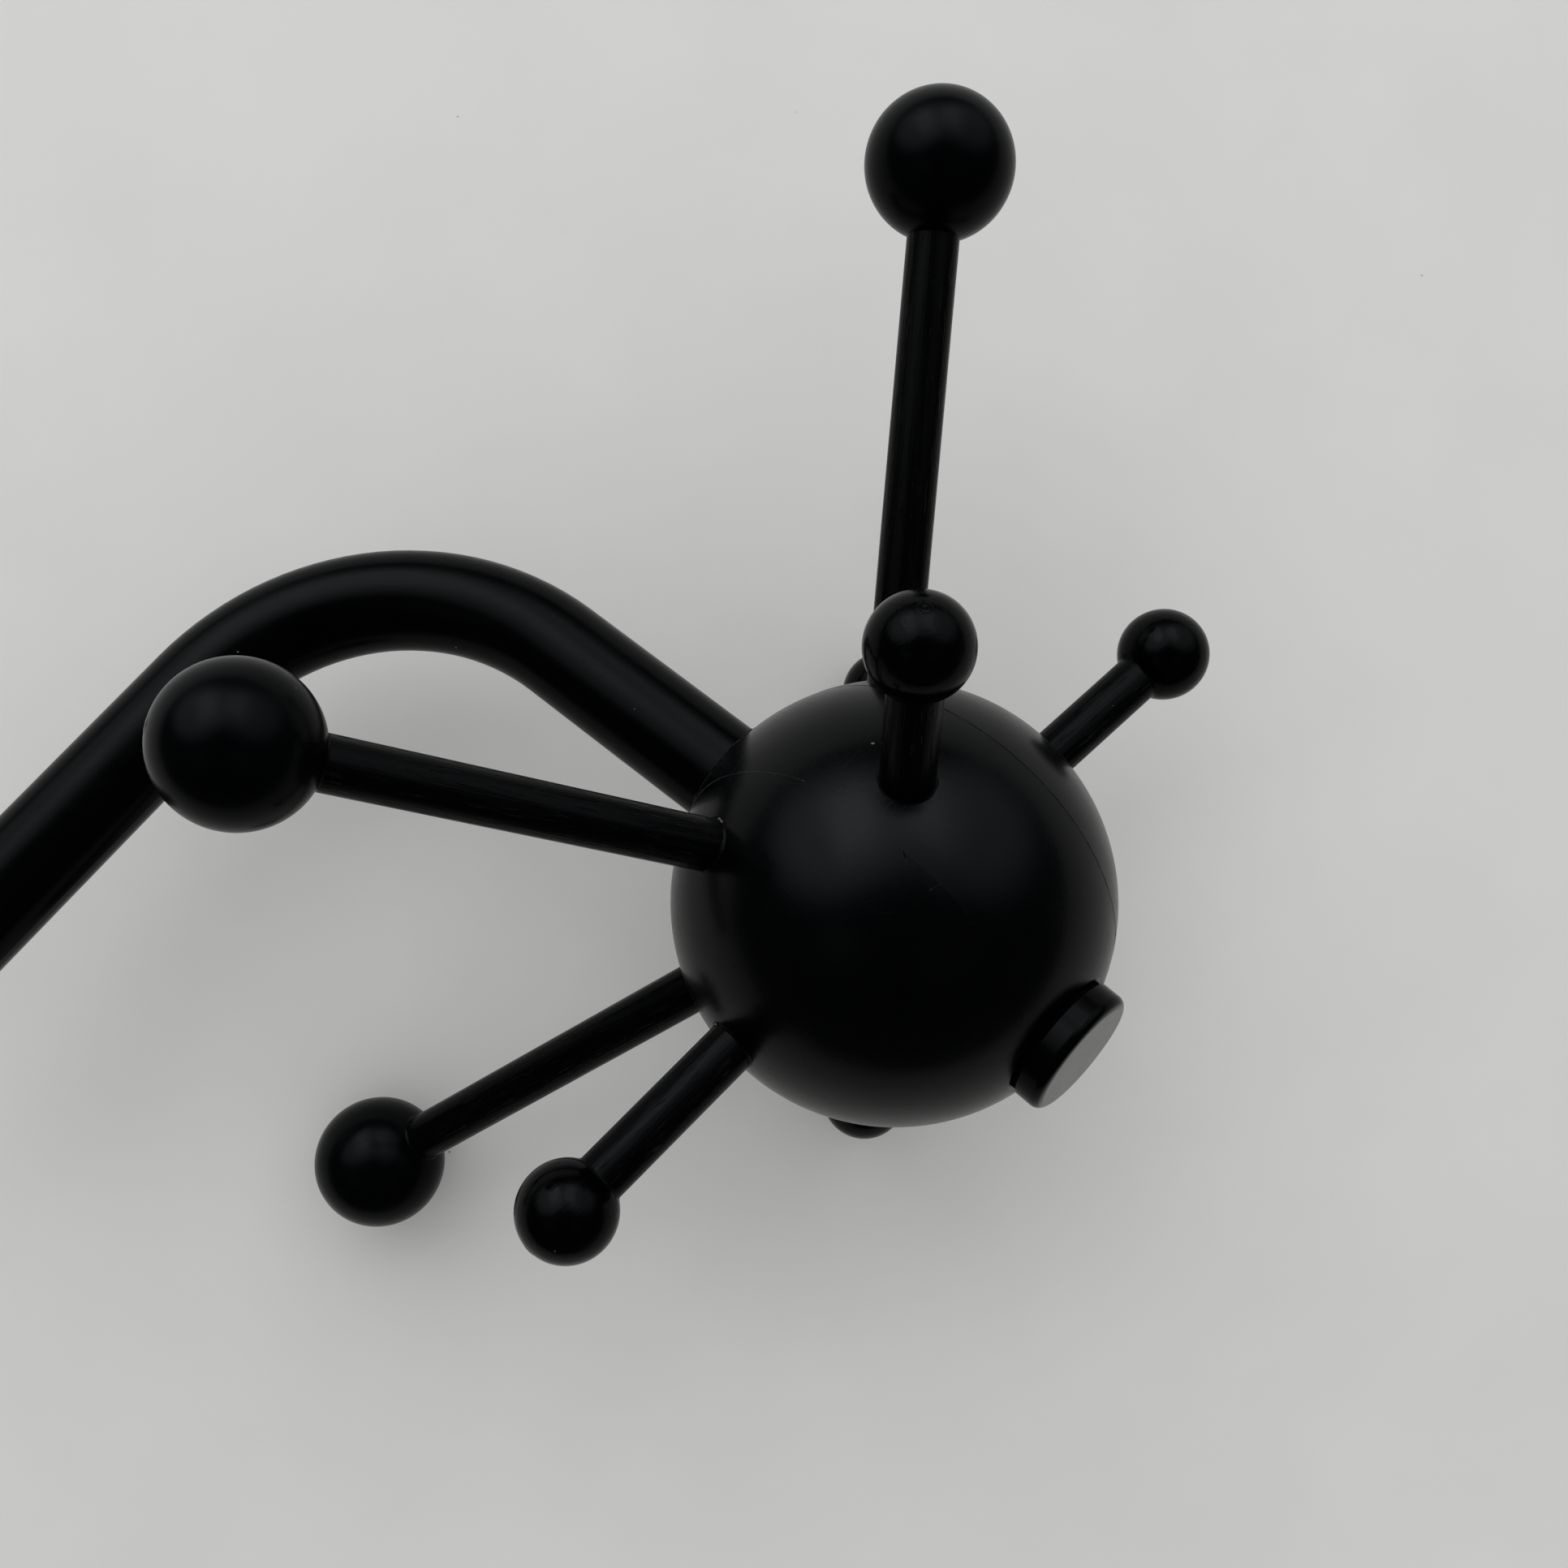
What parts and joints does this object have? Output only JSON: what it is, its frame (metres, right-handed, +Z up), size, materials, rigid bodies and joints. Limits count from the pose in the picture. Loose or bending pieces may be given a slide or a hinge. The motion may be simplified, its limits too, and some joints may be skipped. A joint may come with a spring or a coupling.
{
  "type": "ball-tipped spoke hub on a bent arm",
  "caption": "Black wooden ball hub with long and short ball-tipped dowel spokes, turning on the end of a bent tube arm and held by a round clamp cap.",
  "frame": {"origin": "on the floor under the middle of the object's bounding box, with the object standing on three of its balls", "axes": "+Z up from the floor, +X towards the clamp-cap side, away from the arm's free end, +Y towards the long back spoke"},
  "size_m": [0.2979, 0.2354, 0.1447],
  "materials": {
    "hub_paint": "satin black paint over wood",
    "large_ball_paint": "satin black paint over wood",
    "small_ball_paint": "gloss black paint over wood",
    "dowel_paint": "brushed gloss black paint over wood grain",
    "tube_coat": "satin black coating",
    "cap_plastic": "gloss black",
    "washer_rubber": "matt black",
    "insert_metal": "turned",
    "insert_brass": "turned",
    "stud_steel": "plated"
  },
  "bodies": {
    "hub": {"hub_middle_board": "hub_paint", "hub_left_cheek": "hub_paint", "hub_right_cheek": "hub_paint", "dowel_back": "dowel_paint", "dowel_high": "dowel_paint", "dowel_left_foot": "dowel_paint", "dowel_upper": "dowel_paint", "dowel_right": "dowel_paint", "dowel_front": "dowel_paint", "dowel_front_foot": "dowel_paint", "dowel_back_foot": "dowel_paint", "ball_back": "large_ball_paint", "ball_high": "large_ball_paint", "ball_left_foot": "large_ball_paint", "ball_upper": "small_ball_paint", "ball_right": "small_ball_paint", "ball_front": "small_ball_paint", "ball_front_foot": "small_ball_paint", "ball_back_foot": "small_ball_paint"},
    "arm": {"arm_tube": "tube_coat", "arm_insert": "insert_metal"},
    "clamp": {"clamp_stud": "stud_steel", "clamp_cap": "cap_plastic", "cap_insert": "insert_brass", "cap_washer": "washer_rubber"}
  },
  "joints": [
    {"name": "arm_turn", "type": "hinge", "parent": "hub", "child": "arm", "pos_m": [0.078, -0.041, 0.069], "axis": [-0.7698, 0.5907, -0.2419], "continuous": true},
    {"name": "cap_turn", "type": "hinge", "parent": "hub", "child": "clamp", "pos_m": [0.078, -0.041, 0.069], "axis": [0.7051, -0.5917, 0.3907], "range_deg": [0, 180]}
  ]
}
